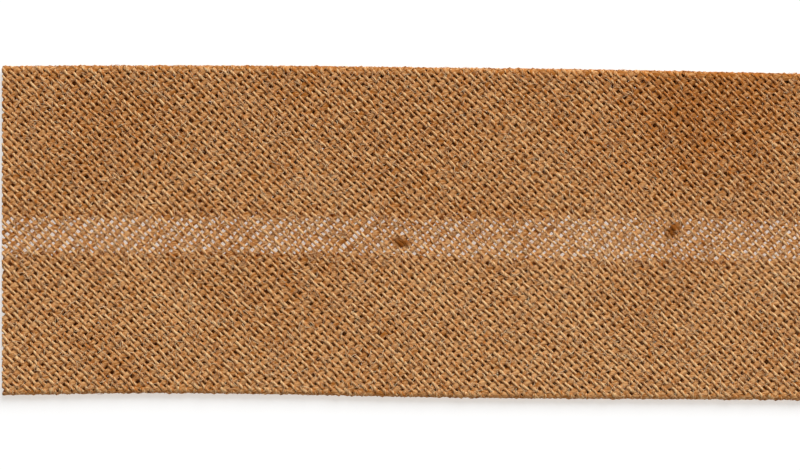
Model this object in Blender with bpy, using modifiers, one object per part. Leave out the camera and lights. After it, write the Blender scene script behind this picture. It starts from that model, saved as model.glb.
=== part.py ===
"""A cut length of single-fold bias binding, lying face up on a flat surface.

Metres, +Z up. The length runs along X and the width along Y. The folded edge at +Y is the far edge
and the one at -Y the near edge. One strip of cloth makes the whole thing: its two long edges are
turned under and pressed flat, and they stop short of each other on the underside.
"""

import math

import bmesh
import bpy

MM = 0.001

OBJECT = "bias_binding_length"
STRIP = "binding_strip"

# The cut length, and the cloth and the air between its layers
LENGTH = 50 * MM
CLOTH = 1.0 * MM
LAYER_GAP = 0.3 * MM

# The turnings lie flat on the surface out to this distance each side, where the folds start to rise
PRESSED_AT_ENDS = 8.48 * MM
PRESSED_AT_MIDDLE = 8.38 * MM

# The lowest points lie level on the surface to within this
LEVEL_WITHIN = 0.001 * MM

# Middle of the cloth: its height in a turning, its bend at a fold, and its height in the face
TURNING_HEIGHT = CLOTH / 2
BEND_RADIUS = (CLOTH + LAYER_GAP) / 2
FACE_HEIGHT = TURNING_HEIGHT + 2 * BEND_RADIUS

# The face sags a little where no turning lies under it
SAG_DEPTH = 0.2 * MM
SAG_HALF_WIDTH = 2.6 * MM

# How the strip's edges wander along its length, in millimetres: the two folded edges, and the raw
# edges of the turnings under the face
EDGE_COLUMNS = ("along", "far_fold", "near_fold", "far_raw", "near_raw")
EDGES = (
    (-25.0, 10.16, -9.90, 0.98, -1.38),
    (-16.0, 10.20, -9.77, 1.02, -1.30),
    (-7.0, 10.17, -9.86, 1.09, -1.41),
    (0.0, 10.09, -10.01, 0.99, -1.50),
    (8.0, 9.99, -10.10, 0.98, -1.66),
    (16.0, 9.86, -10.14, 0.95, -1.73),
    (25.0, 9.66, -10.20, 0.83, -1.71),
)

# Steps of the mesh along the strip, and of each stretch of its section
STEPS_ALONG = 14
STEPS_TURNING = 3
STEPS_BEND = 8
STEPS_FACE = 16
STEPS_SECTION = 2 * STEPS_TURNING + 2 * STEPS_BEND + STEPS_FACE

# Dyed cotton's colour, linear
TAN_COTTON = (0.36, 0.17, 0.062, 1.0)


def clear_scene():
    for item in list(bpy.data.objects):
        bpy.data.objects.remove(item, do_unlink=True)


def edge_at(column, along):
    """Read one edge at a distance along the strip, on a smooth curve through the table's rows."""
    index = EDGE_COLUMNS.index(column)
    rows = [(row[0] * MM, row[index] * MM) for row in EDGES]
    last = len(rows) - 1
    start = max(k for k in range(last) if rows[k][0] <= along or k == 0)
    before, here, after, beyond = (rows[min(max(start + k, 0), last)] for k in (-1, 0, 1, 2))
    span = after[0] - here[0]
    slope_here = (after[1] - before[1]) / (after[0] - before[0])
    slope_after = (beyond[1] - here[1]) / (beyond[0] - here[0])
    t = (along - here[0]) / span
    return (
        (2 * t**3 - 3 * t**2 + 1) * here[1]
        + (t**3 - 2 * t**2 + t) * span * slope_here
        + (3 * t**2 - 2 * t**3) * after[1]
        + (t**3 - t**2) * span * slope_after
    )


def pressed_half_width(along):
    return PRESSED_AT_MIDDLE + (PRESSED_AT_ENDS - PRESSED_AT_MIDDLE) * (2 * along / LENGTH) ** 2


def turning_point(raw, flat_end, share):
    """A point of a turning's middle, from its raw edge at share 0 to the end of its flat at share 1."""
    return raw + (flat_end - raw) * share, TURNING_HEIGHT


def bend_point(bend, side, share):
    """A point of a fold's middle, after the turning's flat and up and round to the face at share 1."""
    angle = math.pi * (share - 0.5)
    across = bend + side * BEND_RADIUS * math.cos(angle)
    return across, TURNING_HEIGHT + BEND_RADIUS * (1 + math.sin(angle))


def face_point(far_bend, near_bend, sag_centre, share):
    """A point of the face's middle, from the far bend at share 0 to the near bend at share 1."""
    across = far_bend + (near_bend - far_bend) * share
    offset = min(abs(across - sag_centre) / SAG_HALF_WIDTH, 1)
    return across, FACE_HEIGHT - SAG_DEPTH * math.cos(math.pi / 2 * offset) ** 2


def section_point(along, step):
    """The middle of the cloth at one step of the section, far raw edge to near raw edge."""
    far_raw = edge_at("far_raw", along)
    near_raw = edge_at("near_raw", along)
    far_bend = edge_at("far_fold", along) - CLOTH / 2 - BEND_RADIUS
    near_bend = edge_at("near_fold", along) + CLOTH / 2 + BEND_RADIUS
    if step <= STEPS_TURNING:
        return turning_point(far_raw, pressed_half_width(along), step / STEPS_TURNING)
    step -= STEPS_TURNING
    if step <= STEPS_BEND:
        return bend_point(far_bend, 1, step / STEPS_BEND)
    step -= STEPS_BEND
    if step <= STEPS_FACE:
        return face_point(far_bend, near_bend, (far_raw + near_raw) / 2, step / STEPS_FACE)
    step -= STEPS_FACE
    if step < STEPS_BEND:
        return bend_point(near_bend, -1, 1 - step / STEPS_BEND)
    step -= STEPS_BEND
    return turning_point(near_raw, -pressed_half_width(along), 1 - step / STEPS_TURNING)


def cotton_material():
    material = bpy.data.materials.new("tan_cotton")
    material.use_nodes = True
    shader = material.node_tree.nodes["Principled BSDF"]
    shader.inputs["Base Color"].default_value = TAN_COTTON
    shader.inputs["Roughness"].default_value = 0.9
    shader.inputs["Metallic"].default_value = 0.0
    return material


def folded_middle():
    """Fold a flat grid of the cloth's middle into the binding's section."""
    mesh = bpy.data.meshes.new("middle_of_cloth")
    cloth = bmesh.new()
    bmesh.ops.create_grid(cloth, x_segments=STEPS_ALONG, y_segments=STEPS_SECTION, size=1)
    for vertex in cloth.verts:
        along = vertex.co.x * LENGTH / 2
        step = round((vertex.co.y + 1) / 2 * STEPS_SECTION)
        across, height = section_point(along, step)
        vertex.co = (along, across, height)
    bmesh.ops.recalc_face_normals(cloth, faces=cloth.faces)
    cloth.to_mesh(mesh)
    cloth.free()
    return mesh


def lay_level(mesh):
    """Bring the underside's flat points to exactly the surface's height."""
    for vertex in mesh.vertices:
        if abs(vertex.co.z) < LEVEL_WITHIN:
            vertex.co.z = 0


def make_strip(collection):
    strip = bpy.data.objects.new(STRIP, folded_middle())
    collection.objects.link(strip)
    thickness = strip.modifiers.new("cloth_thickness", "SOLIDIFY")
    thickness.thickness = CLOTH
    thickness.offset = 0
    thickness.use_even_offset = True

    bpy.context.view_layer.update()
    thick = strip.evaluated_get(bpy.context.evaluated_depsgraph_get())
    strip.data = bpy.data.meshes.new_from_object(thick)
    strip.modifiers.clear()
    lay_level(strip.data)
    strip.data.name = STRIP
    strip.data.materials.append(cotton_material())


clear_scene()
parts = bpy.data.collections.new(OBJECT)
bpy.context.scene.collection.children.link(parts)
make_strip(parts)
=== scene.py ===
import math
import random

import bmesh
import bpy
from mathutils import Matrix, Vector, noise


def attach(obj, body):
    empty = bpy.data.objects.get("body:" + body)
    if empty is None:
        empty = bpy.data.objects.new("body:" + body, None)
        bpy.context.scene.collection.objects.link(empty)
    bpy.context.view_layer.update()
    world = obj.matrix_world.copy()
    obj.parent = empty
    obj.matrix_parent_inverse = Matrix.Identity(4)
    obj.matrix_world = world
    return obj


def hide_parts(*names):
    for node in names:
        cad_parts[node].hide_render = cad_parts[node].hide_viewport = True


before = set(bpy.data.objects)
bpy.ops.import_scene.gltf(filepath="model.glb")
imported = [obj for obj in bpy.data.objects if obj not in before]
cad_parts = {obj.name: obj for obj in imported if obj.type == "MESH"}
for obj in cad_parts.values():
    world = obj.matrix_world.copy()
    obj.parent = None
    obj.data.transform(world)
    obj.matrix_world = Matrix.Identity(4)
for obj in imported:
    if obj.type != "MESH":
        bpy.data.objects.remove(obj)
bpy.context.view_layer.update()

MM = 0.001


# The camera looks straight down on the binding's face, as the picture was taken. The picture is
# 48.9 mm wide at the cloth, so both cut ends lie at its sides or just outside.
PICTURE_WIDTH = 48.93 * MM
PICTURE_CENTRE = (-0.657 * MM, -0.137 * MM)
CLOTH_TOP = 0.5 * MM
LENS = 100
SENSOR = 36

camera_data = bpy.data.cameras.new("camera")
camera_data.lens = LENS
camera_data.sensor_width = SENSOR
camera_data.clip_start = 5 * MM
camera = bpy.data.objects.new("camera", camera_data)
camera.location = (*PICTURE_CENTRE, PICTURE_WIDTH * LENS / SENSOR + CLOTH_TOP)
bpy.context.scene.collection.objects.link(camera)
bpy.context.scene.camera = camera
bpy.context.scene.view_settings.view_transform = "Standard"


# A wide softbox stands low behind the far edge and to the right, so it rakes across the warp and
# the only shadow falls in front of the near edge. Cream walls all round fill the rest.
SOFTBOX_DISTANCE = 1.0
SOFTBOX_ELEVATION = math.radians(36)
SOFTBOX_SWING = math.radians(29)
SOFTBOX_SIZE = 0.7
SOFTBOX_WATTS = 11.2
ROOM_COLOUR = (1, 0.97, 0.93, 1)
ROOM_LIGHT = 0.27

softbox_data = bpy.data.lights.new("softbox", "AREA")
softbox_data.size = SOFTBOX_SIZE
softbox_data.energy = SOFTBOX_WATTS
softbox = bpy.data.objects.new("softbox", softbox_data)
softbox.location = (
    SOFTBOX_DISTANCE * math.cos(SOFTBOX_ELEVATION) * math.sin(SOFTBOX_SWING),
    SOFTBOX_DISTANCE * math.cos(SOFTBOX_ELEVATION) * math.cos(SOFTBOX_SWING),
    SOFTBOX_DISTANCE * math.sin(SOFTBOX_ELEVATION),
)
softbox.rotation_euler = (SOFTBOX_ELEVATION - math.pi / 2, 0, -SOFTBOX_SWING)
bpy.context.scene.collection.objects.link(softbox)

room = bpy.data.worlds.new("cream_room")
room.use_nodes = True
room.node_tree.nodes["Background"].inputs["Color"].default_value = ROOM_COLOUR
room.node_tree.nodes["Background"].inputs["Strength"].default_value = ROOM_LIGHT
bpy.context.scene.world = room


# The binding lies on a table of opal acrylic lit from below, which shows through the holes
# between the yarns where the cloth is a single layer.
TABLE_SIDE = 3.0
TABLE_CLOUDS_A_METRE = 8.0
TABLE_GLOW = 0.53
GLOW_COLOUR = (1, 0.965, 0.91, 1)


def linear(hex_colour):
    """An sRGB hex colour as linear RGBA."""
    channels = [int(hex_colour[i : i + 2], 16) / 255 for i in (0, 2, 4)]
    return (*[c / 12.92 if c <= 0.04045 else ((c + 0.055) / 1.055) ** 2.4 for c in channels], 1)


def add_node(tree, kind, inputs=None, **settings):
    """Add a node, set its settings, then link or set each of its inputs by name or number."""
    node = tree.nodes.new(kind)
    for name, value in settings.items():
        setattr(node, name, value)
    for name, value in (inputs or {}).items():
        if isinstance(value, bpy.types.NodeSocket):
            tree.links.new(value, node.inputs[name])
        else:
            node.inputs[name].default_value = value
    return node


def opal_acrylic():
    """Matt opal acrylic: cool grey by the light it throws back, a little warm by what it passes."""
    material = bpy.data.materials.new("opal_acrylic")
    material.use_nodes = True
    tree = material.node_tree
    place = add_node(tree, "ShaderNodeTexCoord")
    cloud = add_node(
        tree,
        "ShaderNodeTexNoise",
        {"Vector": place.outputs["Object"], "Scale": TABLE_CLOUDS_A_METRE},
    )
    tone = add_node(
        tree,
        "ShaderNodeMix",
        {"Factor": cloud.outputs["Fac"], "A": linear("cbcfd5"), "B": linear("cdd1d7")},
        data_type="RGBA",
    )
    shader = tree.nodes["Principled BSDF"]
    tree.links.new(tone.outputs["Result"], shader.inputs["Base Color"])
    shader.inputs["Roughness"].default_value = 0.6
    shader.inputs["Specular IOR Level"].default_value = 0.0
    shader.inputs["Emission Color"].default_value = GLOW_COLOUR
    shader.inputs["Emission Strength"].default_value = TABLE_GLOW
    return material


table_mesh = bmesh.new()
bmesh.ops.create_grid(table_mesh, x_segments=1, y_segments=1, size=TABLE_SIDE / 2)
table_data = bpy.data.meshes.new("table")
table_mesh.to_mesh(table_data)
table_mesh.free()
table_data.materials.append(opal_acrylic())
table = bpy.data.objects.new("table", table_data)
bpy.context.scene.collection.objects.link(table)


# The cloth is one strip cut on the bias. Its two long edges are turned under and pressed, so it is
# double everywhere but along a narrow band down the middle, where the raw edges stop short.
# Heights are of the cloth's middle, which turns a little inside the folded edge.
LENGTH = 50 * MM
FACE_HEIGHT = 0.53 * MM
TURNING_HEIGHT = 0.165 * MM
MIDDLE_INSIDE_EDGE = 0.02 * MM
BEND_RADIUS = (FACE_HEIGHT - TURNING_HEIGHT) / 2
BEND_ARC = math.pi * BEND_RADIUS
FOLD_TO_BEND = BEND_RADIUS + MIDDLE_INSIDE_EDGE
SAG_DEPTH = 0.03 * MM

# How the edges wander, in millimetres: the folded edges, and the raw edges of the turnings
EDGE_COLUMNS = ("along", "far_fold", "near_fold", "far_raw", "near_raw")
EDGES = (
    (-25.0, 10.16, -9.90, 0.98, -1.38),
    (-16.0, 10.20, -9.77, 1.02, -1.30),
    (-7.0, 10.17, -9.86, 1.09, -1.41),
    (0.0, 10.09, -10.01, 0.99, -1.50),
    (8.0, 9.99, -10.10, 0.98, -1.66),
    (16.0, 9.86, -10.14, 0.95, -1.73),
    (25.0, 9.66, -10.20, 0.83, -1.71),
)


def edge_at(column, along):
    """Read one edge at a distance along the strip, on a smooth curve through the table's rows."""
    index = EDGE_COLUMNS.index(column)
    rows = [(row[0] * MM, row[index] * MM) for row in EDGES]
    last = len(rows) - 1
    start = max(k for k in range(last) if rows[k][0] <= along or k == 0)
    before, here, after, beyond = (rows[min(max(start + k, 0), last)] for k in (-1, 0, 1, 2))
    span = after[0] - here[0]
    slope_here = (after[1] - before[1]) / (after[0] - before[0])
    slope_after = (beyond[1] - here[1]) / (beyond[0] - here[0])
    t = (along - here[0]) / span
    return (
        (2 * t**3 - 3 * t**2 + 1) * here[1]
        + (t**3 - 2 * t**2 + t) * span * slope_here
        + (3 * t**2 - 2 * t**3) * after[1]
        + (t**3 - t**2) * span * slope_after
    )


EDGE_STEP = 0.25 * MM
EDGE_REACH = LENGTH / 2 + 2 * MM
edge_rows = []
for step in range(round(2 * EDGE_REACH / EDGE_STEP) + 1):
    at = min(max(step * EDGE_STEP - EDGE_REACH, -LENGTH / 2), LENGTH / 2)
    edge_rows.append([edge_at(column, at) for column in EDGE_COLUMNS[1:]])


def edges_near(along):
    """The four edges at a distance along the strip: far fold, near fold, far raw, near raw."""
    row = min(max(round((along + EDGE_REACH) / EDGE_STEP), 0), len(edge_rows) - 1)
    return edge_rows[row]


def flat_margin(x, y, fray):
    """How far a point of the flat cloth lies inside the strip's cut edges; its raw edges fray."""
    far_fold, near_fold, far_raw, near_raw = edges_near(x)
    far_cut = 2 * (far_fold - FOLD_TO_BEND) + BEND_ARC - far_raw
    near_cut = 2 * (near_fold + FOLD_TO_BEND) - BEND_ARC - near_raw
    return min(LENGTH / 2 - abs(x), far_cut - y + fray, y - near_cut + fray)


# The iron's press starts this far before a bend, and the face sags this far past the raw edges
PRESSED_BEFORE_BEND = 0.12 * MM
SAG_PAST_BAND = 0.1 * MM


def fold_under(x, y):
    """Where a point of the flat cloth lies once the edges are turned under.

    Returns its place, the direction in which y runs there, the cloth's upward side, and how far
    the iron has pressed the yarns, fully in the fold and turning.
    """
    far_fold, near_fold, far_raw, near_raw = edges_near(x)
    side, bend = (1, far_fold - FOLD_TO_BEND) if y > 0 else (-1, -near_fold - FOLD_TO_BEND)
    past = side * y - bend
    pressed = min(max(1 + past / PRESSED_BEFORE_BEND, 0), 1)
    if past <= 0:
        half_band = (far_raw - near_raw) / 2 + SAG_PAST_BAND
        offset = min(abs(y - (far_raw + near_raw) / 2) / half_band, 1)
        slack = math.cos(math.pi / 2 * offset) ** 2
        place = Vector((x, y, FACE_HEIGHT - SAG_DEPTH * slack))
        return place, Vector((0, 1, 0)), Vector((0, 0, 1)), pressed
    if past < BEND_ARC:
        angle = past / BEND_RADIUS
        sine, cosine = math.sin(angle), math.cos(angle)
        across = side * (bend + BEND_RADIUS * sine)
        place = Vector((x, across, TURNING_HEIGHT + BEND_RADIUS * (1 + cosine)))
        return place, Vector((0, cosine, -side * sine)), Vector((0, side * sine, cosine)), pressed
    place = Vector((x, side * (bend - past + BEND_ARC), TURNING_HEIGHT))
    return place, Vector((0, -1, 0)), Vector((0, 0, -1)), pressed


# Two faults of the spinning show on the face, both dyed a darker orange: a nep, which is a knot of
# tangled fibre, and a thick place in one weft yarn. Each is its x and y, its angle, and half its
# length and width, in millimetres and degrees, and its dye fades out towards its rim.
SLUBS = (
    (-0.54, -0.60, -6, 0.54, 0.27),
    (15.98, 0.19, 44, 0.56, 0.30),
)
FURTHEST_FROM_SLUB = 1
SLUB_FULLNESS = 1.9
SLUB_FADE = 1.5


def slub_at(flat):
    """How much a point of the flat cloth belongs to a slub, from 0 to 1."""
    most = 0
    for x, y, angle, half_length, half_width in SLUBS:
        across, up = flat.x / MM - x, flat.y / MM - y
        if abs(across) > FURTHEST_FROM_SLUB or abs(up) > FURTHEST_FROM_SLUB:
            continue
        cosine, sine = math.cos(math.radians(angle)), math.sin(math.radians(angle))
        reach = math.hypot(
            (across * cosine + up * sine) / half_length,
            (up * cosine - across * sine) / half_width,
        )
        most = max(most, min(max(SLUB_FULLNESS - SLUB_FADE * reach, 0), 1))
    return most


# The yarns are set out to either side of the middle, past the flat cloth's corners. They drift in
# groups as well as one by one, and a yarn spreads where it has more room. Frays are millimetres.
CLOTH_REACH = 32 * MM
GROUP_DRIFT = 0.4
GROUP_SHARE_OF_YARN = 0.11
WIDTH_UNEVENNESS = 0.06
SPREAD_WITH_ROOM = 1.1
SHORTEST_FRAY = -0.06
LONGEST_FRAY = 0.14


class YarnSet:
    """One of the cloth's two sets of parallel yarns: where they lie when flat, and their build."""

    def __init__(
        self, angle, pitch, closing, unevenness, width, thickness, crimp, dive, twist, seed
    ):
        self.across = Vector((-math.sin(angle), math.cos(angle)))
        self.pitch = pitch
        self.width = width
        self.thickness = thickness
        self.crimp = crimp
        self.dive = dive
        self.twist = twist
        self.seed = seed
        chance = random.Random(seed)
        self.lines = []
        count = math.ceil(CLOTH_REACH / pitch)
        for k in range(-count, count + 1):
            group_drift = GROUP_DRIFT * noise.noise((k * GROUP_SHARE_OF_YARN, seed, 0))
            wander = chance.gauss(0, unevenness) + group_drift
            self.lines.append((k + wander) * pitch * (1 - closing * k * pitch))
        self.tones = [chance.gauss(0, 1) for _ in self.lines]
        self.frays = [chance.uniform(SHORTEST_FRAY, LONGEST_FRAY) * MM for _ in self.lines]
        self.widths = []
        for k in range(len(self.lines)):
            before, after = max(k - 1, 0), min(k + 1, len(self.lines) - 1)
            room = (self.lines[after] - self.lines[before]) / (after - before) / pitch
            spread = room**SPREAD_WITH_ROOM
            self.widths.append(width * (1 + chance.gauss(0, WIDTH_UNEVENNESS)) * spread)


# The warp is the finer set and runs down to the right at 43 degrees, about 33 to the centimetre
# and a little closer towards the right. The weft runs up to the right at 44 degrees, 21 to the
# centimetre, and is softer and flatter. A dive lists how a yarn passes from over one yarn of the
# other set to under the next, as (share of the way, height). The warp stays up for most of it.
warp = YarnSet(
    angle=math.radians(-43),
    pitch=0.300 * MM,
    closing=0.85,
    unevenness=0.08,
    width=0.190 * MM,
    thickness=0.135 * MM,
    crimp=0.070 * MM,
    dive=((0, 1), (0.45, 0.72), (0.72, -0.45)),
    twist=0.9 * 2 * math.pi / MM,
    seed=11,
)
weft = YarnSet(
    angle=math.radians(44),
    pitch=0.480 * MM,
    closing=0,
    unevenness=0.06,
    width=0.372 * MM,
    thickness=0.125 * MM,
    crimp=0.062 * MM,
    dive=((0, 1), (0.5, -0.4)),
    twist=0.6 * 2 * math.pi / MM,
    seed=23,
)
crossing_sine = warp.across.x * weft.across.y - warp.across.y * weft.across.x

# The cloth is pulled a little out of true, over patches of this size. The pull along the strip and
# the pull across it come from two slices of one noise.
DISTORTION = 0.16 * MM
DISTORTION_SIZE = 7 * MM
SLICE_ALONG = 3.7
SLICE_ACROSS = 9.1


def flat_crossing(warp_line, weft_line):
    """Where a warp line meets a weft line in the flat cloth, with the cloth's slow distortion."""
    x = (warp_line * weft.across.y - weft_line * warp.across.y) / crossing_sine
    y = (weft_line * warp.across.x - warp_line * weft.across.x) / crossing_sine
    pull_along = noise.noise((x / DISTORTION_SIZE, y / DISTORTION_SIZE, SLICE_ALONG))
    pull_across = noise.noise((x / DISTORTION_SIZE, y / DISTORTION_SIZE, SLICE_ACROSS))
    return Vector((x + DISTORTION * pull_along, y + DISTORTION * pull_across))


# A yarn climbs unevenly over the yarns it crosses, and sways by this share of its pitch. The steps
# are how far the noise moves on from one crossing to the next, and from one yarn to the next.
CRIMP_UNEVENNESS = 0.55
CRIMP_STEP = 0.9
CRIMP_YARN_STEP = 2.7
SWAY = 0.24
SWAY_STEP = 0.7
SWAY_YARN_STEP = 5.3


def yarn_path(own, other, index):
    """The places of one yarn in the flat cloth, as (place, height over the cloth's middle)."""
    line = own.lines[index]
    climb = [(0, -1)] + [(1 - share, height) for share, height in reversed(own.dive[1:])]
    path = []
    for m in range(len(other.lines) - 1):
        spot = (m * CRIMP_STEP, index * CRIMP_YARN_STEP, own.seed)
        crimp = own.crimp * (1 + CRIMP_UNEVENNESS * noise.noise(spot))
        starts_over = (index + m) % 2 == (1 if own is warp else 0)
        for share, height in own.dive if starts_over else climb:
            other_line = other.lines[m] + (other.lines[m + 1] - other.lines[m]) * share
            spot = ((m + share) * SWAY_STEP, index * SWAY_YARN_STEP, own.seed)
            sway = SWAY * own.pitch * noise.noise(spot)
            if own is warp:
                place = flat_crossing(line + sway, other_line)
            else:
                place = flat_crossing(other_line, line + sway)
            path.append((place, height * crimp))
    return path


def between(here, there, share):
    """The place and height that lie a share of the way from one point of a path to another."""
    return tuple(a + (b - a) * share for a, b in zip(here, there))


def trimmed(path, fray):
    """The part of a path inside the cloth's cut edges, with its two ends exactly on them."""
    margins = [flat_margin(*place, fray) for place, _ in path]
    inside = [k for k, margin in enumerate(margins) if margin > 0]
    if len(inside) < 3:
        return []
    first, last = inside[0], inside[-1]
    kept = path[first : last + 1]
    if first > 0:
        share = margins[first] / (margins[first] - margins[first - 1])
        kept.insert(0, between(path[first], path[first - 1], share))
    if last < len(path) - 1:
        share = margins[last] / (margins[last] - margins[last + 1])
        kept.append(between(path[last], path[last + 1], share))
    return kept


# A yarn is thick and thin by turns, and swells in a slub. The iron takes off some of its height
# over the cloth's middle, and some of its thickness.
SWELL = 0.22
SWELL_LENGTH = 0.8 * MM
SWELL_YARN_STEP = 3.1
SLUB_WIDER = 0.8
SLUB_THICKER = 0.4
PRESSED_THINNER = 0.25
PRESSED_LOWER = 0.35
SHORTEST_STEP = 1e-9


def rings_along(path, number, seed, width, pressed_width, thickness):
    """The rings of a yarn or fibre on its path.

    Each is (middle, side, crown, run, slub, pressed): its middle, its half width to one side and
    half thickness to the top, the length so far, and how far it is a slub and pressed.
    """
    rings = []
    run = 0.0
    for k, (flat, height) in enumerate(path):
        before, after = path[max(k - 1, 0)], path[min(k + 1, len(path) - 1)]
        step = after[0] - before[0]
        heading = step.normalized()
        slope = (after[1] - before[1]) / max(step.length, SHORTEST_STEP)
        place, y_way, up, pressed = fold_under(flat.x, flat.y)
        forward = (Vector((heading.x, 0, 0)) + y_way * heading.y + up * slope).normalized()
        side = up.cross(forward).normalized()
        crown = forward.cross(side)
        if k:
            run += (flat - path[k - 1][0]).length
        slub = slub_at(flat)
        spot = (run / SWELL_LENGTH, number * SWELL_YARN_STEP, seed)
        swell = 1 + SWELL * noise.noise(spot) + SLUB_WIDER * slub
        half_width = (width + (pressed_width - width) * pressed) / 2 * swell
        pressed_thickness = thickness / 2 * (1 - PRESSED_THINNER * pressed)
        half_thickness = pressed_thickness * (1 + SLUB_THICKER * slub)
        middle = place + up * height * (1 - PRESSED_LOWER * pressed)
        rings.append((middle, side * half_width, crown * half_thickness, run, slub, pressed))
    return rings


# In each cell of the map a tube keeps this far from the rim and fills this share. Each tube takes
# its streaks from another part of the noise, so many millimetres on from the one before.
CELL_MARGIN = 0.05
CELL_SHARE = 0.9
STREAKS_STEP_ALONG = 17.0
STREAKS_STEP_UP = 3.3
MERGE_WITHIN = 1e-8


def roll_tubes(name, tubes, sides, twist, columns, longest, material):
    """Roll one flat grid into tubes and make their mesh a piece of the binding.

    Each tube is (number, tone, rings). The grid has a row of cells for each ring of each tube, cut
    between one tube and the next. The map has a cell for each tube, so many columns across.
    """
    cloth = bmesh.new()
    uv_layer = cloth.loops.layers.uv.new("OFBake")
    place_layer = cloth.verts.layers.float_vector.new("yarn_place")
    tone_layer = cloth.verts.layers.float.new("yarn_tone")
    dye_layer = cloth.verts.layers.float.new("slub_dye")
    crown_light_layer = cloth.verts.layers.float.new("yarn_crown_painted_light")
    pressed_shade_layer = cloth.verts.layers.float.new("pressed_flat_painted_shade")
    rows = math.ceil(len(tubes) / columns)
    steps = [(t, ring) for t, (_, _, rings) in enumerate(tubes) for ring in rings]
    bmesh.ops.create_grid(cloth, x_segments=len(steps) - 1, y_segments=sides, size=1)
    spots = {}
    for vertex in cloth.verts:
        step = round((vertex.co.x + 1) / 2 * (len(steps) - 1))
        turn_share = round((vertex.co.y + 1) / 2 * sides) / sides
        turn = 2 * math.pi * turn_share - math.pi / 2
        t, (middle, side, crown, run, slub, pressed) = steps[step]
        number, tone, _ = tubes[t]
        spiral = turn - twist * run
        vertex.co = middle + side * math.cos(turn) + crown * math.sin(turn)
        vertex.co.x = min(max(vertex.co.x, -LENGTH / 2), LENGTH / 2)
        vertex[place_layer] = (
            run / MM + number * STREAKS_STEP_ALONG,
            side.length / MM * math.cos(spiral),
            crown.length / MM * math.sin(spiral) + number * STREAKS_STEP_UP,
        )
        vertex[tone_layer] = tone
        vertex[dye_layer] = slub
        # Painted light and shade: the top of each yarn is marked so that its dye can be painted
        # paler there and deeper on its flanks and underside.
        vertex[crown_light_layer] = max(math.sin(turn), 0)
        # Painted shade: how far the iron has pressed each point, so that the dye can be painted
        # darker on the pressed folds.
        vertex[pressed_shade_layer] = pressed
        map_x = (t % columns + CELL_MARGIN + CELL_SHARE * run / longest) / columns
        map_y = (t // columns + CELL_MARGIN + CELL_SHARE * turn_share) / rows
        spots[vertex] = (t, (map_x, map_y))
    between_tubes = []
    for face in cloth.faces:
        if len({spots[vertex][0] for vertex in face.verts}) > 1:
            between_tubes.append(face)
    bmesh.ops.delete(cloth, geom=between_tubes, context="FACES")
    for face in cloth.faces:
        face.smooth = True
        for corner in face.loops:
            corner[uv_layer].uv = spots[corner.vert][1]
    bmesh.ops.remove_doubles(cloth, verts=cloth.verts, dist=MERGE_WITHIN)
    open_ends = [edge for edge in cloth.edges if edge.is_boundary]
    bmesh.ops.holes_fill(cloth, edges=open_ends, sides=sides)
    bmesh.ops.recalc_face_normals(cloth, faces=cloth.faces)
    mesh = bpy.data.meshes.new(name)
    cloth.to_mesh(mesh)
    cloth.free()
    mesh.materials.append(material)
    piece = bpy.data.objects.new(name, mesh)
    bpy.context.scene.collection.objects.link(piece)
    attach(piece, "root")
    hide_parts("binding_strip")
    return piece


# Pressed yarns spread to a little over their pitch, so that the double cloth shows no holes
YARN_SIDES = 6
LONGEST_YARN = 60 * MM
PRESSED_SPREAD = 1.15


def weave(name, own, other, start, end, material):
    """Make one piece of the cloth: one set's yarns from start to end across it, folded in place."""
    paths = []
    for index, line in enumerate(own.lines):
        if start <= line < end:
            path = trimmed(yarn_path(own, other, index), own.frays[index])
            if path:
                paths.append((index, path))
    yarns = []
    for index, path in paths:
        width = own.widths[index]
        pressed_width = PRESSED_SPREAD * width * own.pitch / own.width
        rings = rings_along(path, index, own.seed, width, pressed_width, own.thickness)
        yarns.append((index, own.tones[index], rings))
    piece = roll_tubes(name, yarns, YARN_SIDES, own.twist, 1, LONGEST_YARN, material)
    return piece


# The yarns' own patterns are in millimetres. The dye is cloudy over patches of the cloth, and the
# colour is darker towards the far edge and round one place near it.
STREAK_STRETCH = (0.22, 1.0, 1.0)
CLUMP_SIZE = 0.35
CLOUD_SIZE = 7 * MM
DARK_PATCH_PLACE = (18.5 * MM, 9.0 * MM, 0)
DARK_PATCH_CORE = 2 * MM
DARK_PATCH_REACH = 8 * MM
SLUB_COLOUR = "965410"
FIBRE_RELIEF = 0.045 * MM
SHARE_SHINING_THROUGH = 0.03


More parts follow.
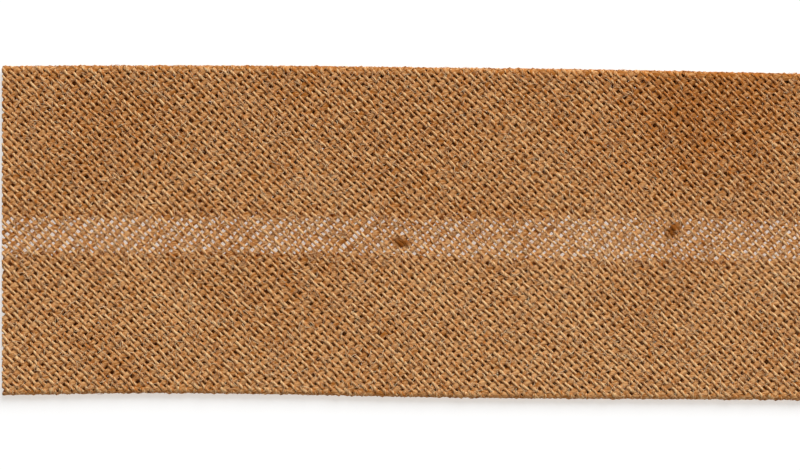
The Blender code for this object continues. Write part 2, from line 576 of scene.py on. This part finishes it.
def dyed_cotton(name, shade, light, fibre_size):
    """Ring-spun cotton, piece dyed tan: matt, streaked along its twisted fibres and cloudy.

    Single fibres are about 0.015 mm thick, too fine for the picture, so the streaks are drawn as
    clumps of fibres.
    """
    material = bpy.data.materials.new(name)
    material.use_nodes = True
    tree = material.node_tree
    yarn = add_node(tree, "ShaderNodeAttribute", attribute_name="yarn_place")
    tone = add_node(tree, "ShaderNodeAttribute", attribute_name="yarn_tone")
    slub = add_node(tree, "ShaderNodeAttribute", attribute_name="slub_dye")
    crown = add_node(tree, "ShaderNodeAttribute", attribute_name="yarn_crown_painted_light")
    pressed = add_node(tree, "ShaderNodeAttribute", attribute_name="pressed_flat_painted_shade")
    cloth = add_node(tree, "ShaderNodeTexCoord")
    stretched = add_node(
        tree,
        "ShaderNodeVectorMath",
        {0: yarn.outputs["Vector"], 1: STREAK_STRETCH},
        operation="MULTIPLY",
    )
    fibres = add_node(
        tree,
        "ShaderNodeTexNoise",
        {"Vector": stretched.outputs["Vector"], "Scale": 1 / fibre_size, "Detail": 1.0},
    )
    clumps = add_node(
        tree,
        "ShaderNodeTexNoise",
        {"Vector": yarn.outputs["Vector"], "Scale": 1 / CLUMP_SIZE, "Detail": 1.0},
    )
    cloud = add_node(
        tree,
        "ShaderNodeTexNoise",
        {"Vector": cloth.outputs["Object"], "Scale": 1 / CLOUD_SIZE, "Detail": 1.0},
    )
    # The colour is darker round one place near the far edge.
    from_dark_patch = add_node(
        tree,
        "ShaderNodeVectorMath",
        {0: cloth.outputs["Object"], 1: DARK_PATCH_PLACE},
        operation="DISTANCE",
    )
    dark_patch = add_node(
        tree,
        "ShaderNodeMapRange",
        {
            "Value": from_dark_patch.outputs["Value"],
            "From Min": DARK_PATCH_CORE,
            "From Max": DARK_PATCH_REACH,
            "To Min": 1,
            "To Max": 0,
        },
        interpolation_type="SMOOTHSTEP",
    )
    position = add_node(tree, "ShaderNodeSeparateXYZ", {"Vector": cloth.outputs["Object"]})
    level = -2.01
    for value, weight in (
        # The tops of the yarns are painted paler and their flanks and undersides deeper: painted
        # light and shade.
        (crown.outputs["Fac"], 0.3),
        # The pressed folds are painted darker, a painted shade that dulls the light they catch.
        (pressed.outputs["Fac"], -0.2),
        (fibres.outputs["Fac"], 3.3),
        (clumps.outputs["Fac"], 0.9),
        (cloud.outputs["Fac"], 0.4),
        (position.outputs["Y"], -0.008 / MM),
        (dark_patch.outputs["Result"], -0.33),
        (tone.outputs["Fac"], 0.06),
    ):
        level = add_node(
            tree, "ShaderNodeMath", {0: value, 1: weight, 2: level}, operation="MULTIPLY_ADD"
        ).outputs[0]
    dyed = add_node(
        tree,
        "ShaderNodeMix",
        {"Factor": level, "A": linear(shade), "B": linear(light)},
        data_type="RGBA",
    )
    colour = add_node(
        tree,
        "ShaderNodeMix",
        {"Factor": slub.outputs["Fac"], "A": dyed.outputs["Result"], "B": linear(SLUB_COLOUR)},
        data_type="RGBA",
    )
    bump = add_node(
        tree,
        "ShaderNodeBump",
        {"Height": fibres.outputs["Fac"], "Strength": 0.9, "Distance": FIBRE_RELIEF},
    )
    shader = tree.nodes["Principled BSDF"]
    tree.links.new(colour.outputs["Result"], shader.inputs["Base Color"])
    tree.links.new(bump.outputs["Normal"], shader.inputs["Normal"])
    shader.inputs["Roughness"].default_value = 0.75
    shader.inputs["IOR"].default_value = 1.5
    shader.inputs["Specular IOR Level"].default_value = 0.2
    shader.inputs["Sheen Weight"].default_value = 0.1
    shader.inputs["Sheen Roughness"].default_value = 0.4
    glow = add_node(
        tree,
        "ShaderNodeBsdfTranslucent",
        {"Color": colour.outputs["Result"], "Normal": bump.outputs["Normal"]},
    )
    both = add_node(
        tree,
        "ShaderNodeMixShader",
        {0: SHARE_SHINING_THROUGH, 1: shader.outputs[0], 2: glow.outputs[0]},
    )
    tree.links.new(both.outputs[0], tree.nodes["Material Output"].inputs["Surface"])
    return material


# The warp yarns: ring-spun cotton, hard twisted and fine. They ride high over the weft, so each
# shows as a row of short bright dashes with a dark flank on the side away from the light.
# They are made as three pieces, so that none has too many triangles.
WARP_SPLIT = 5.8 * MM
WARP_STREAK_SIZE = 0.055
warp_cotton = dyed_cotton("warp_cotton_hard_twist", "be7229", "f6cc94", WARP_STREAK_SIZE)
weave("warp_yarns_left", warp, weft, -CLOTH_REACH, -WARP_SPLIT, warp_cotton)
weave("warp_yarns_middle", warp, weft, -WARP_SPLIT, WARP_SPLIT, warp_cotton)
weave("warp_yarns_right", warp, weft, WARP_SPLIT, CLOTH_REACH, warp_cotton)


# The weft yarns: coarser cotton, softly twisted and pressed flat. They show as broad dull patches
# between the warp's dashes.
WEFT_STREAK_SIZE = 0.060
weft_cotton = dyed_cotton("weft_cotton_soft_twist", "b06a24", "eeb67a", WEFT_STREAK_SIZE)
weave("weft_yarns_left", weft, warp, -CLOTH_REACH, 0, weft_cotton)
weave("weft_yarns_right", weft, warp, 0, CLOTH_REACH, weft_cotton)


# Loose fibres: ends of cotton that stand out of the yarns and lie tangled over the face, with a few
# over the folded edges. More of them show in the thin band, where they cross the holes. A single
# fibre is 0.015 mm thick, and two or three cling in each of these. Their places along the strip
# are shares of its length, their lengths are shares of the longest, and their lifts millimetres.
FIBRES = 7400
FIBRES_IN_BAND = 900
FIBRES_A_ROW = 87
FIBRE_SEED = 5
FIBRE_THICKNESS = 0.028 * MM
FIBRE_STEPS = 4
FIBRE_SIDES = 3
LONGEST_FIBRE = 0.95 * MM
FIBRE_LENGTHS = (0.25, 0.95)
FIBRE_PLACES = (-0.49, 0.49)
FIBRE_PAST_EDGE = 0.1 * MM
FIBRE_CURL = 0.35
FIBRE_ROOT = 0.03 * MM
FIBRE_LIFTS = (0.09, 0.19)
FIBRE_TONES = 2
FIBRE_STREAK_SIZE = 0.15

fibre_chance = random.Random(FIBRE_SEED)
fibres = []
for number in range(FIBRES):
    x = fibre_chance.uniform(*FIBRE_PLACES) * LENGTH
    far_fold, near_fold, far_raw, near_raw = edges_near(x)
    far, near = (far_raw, near_raw) if number < FIBRES_IN_BAND else (far_fold, near_fold)
    y = fibre_chance.uniform(near - FIBRE_PAST_EDGE, far + FIBRE_PAST_EDGE)
    flat = Vector((x, y))
    heading = fibre_chance.uniform(0, 2 * math.pi)
    step = fibre_chance.uniform(*FIBRE_LENGTHS) * LONGEST_FIBRE / FIBRE_STEPS
    bend = fibre_chance.gauss(0, FIBRE_CURL)
    lift = fibre_chance.uniform(*FIBRE_LIFTS) * MM
    path = []
    for k in range(FIBRE_STEPS + 1):
        path.append((flat.copy(), FIBRE_ROOT + lift * math.sin(math.pi * k / FIBRE_STEPS)))
        flat += step * Vector((math.cos(heading), math.sin(heading)))
        heading += bend
    rings = rings_along(
        path, number, FIBRE_SEED, FIBRE_THICKNESS, FIBRE_THICKNESS, FIBRE_THICKNESS
    )
    fibres.append((number, fibre_chance.gauss(0, FIBRE_TONES), rings))
fibre_cotton = dyed_cotton("loose_cotton_fibre", "b87030", "ffe4b8", FIBRE_STREAK_SIZE)
roll_tubes("loose_fibres", fibres, FIBRE_SIDES, 0, FIBRES_A_ROW, LONGEST_FIBRE, fibre_cotton)
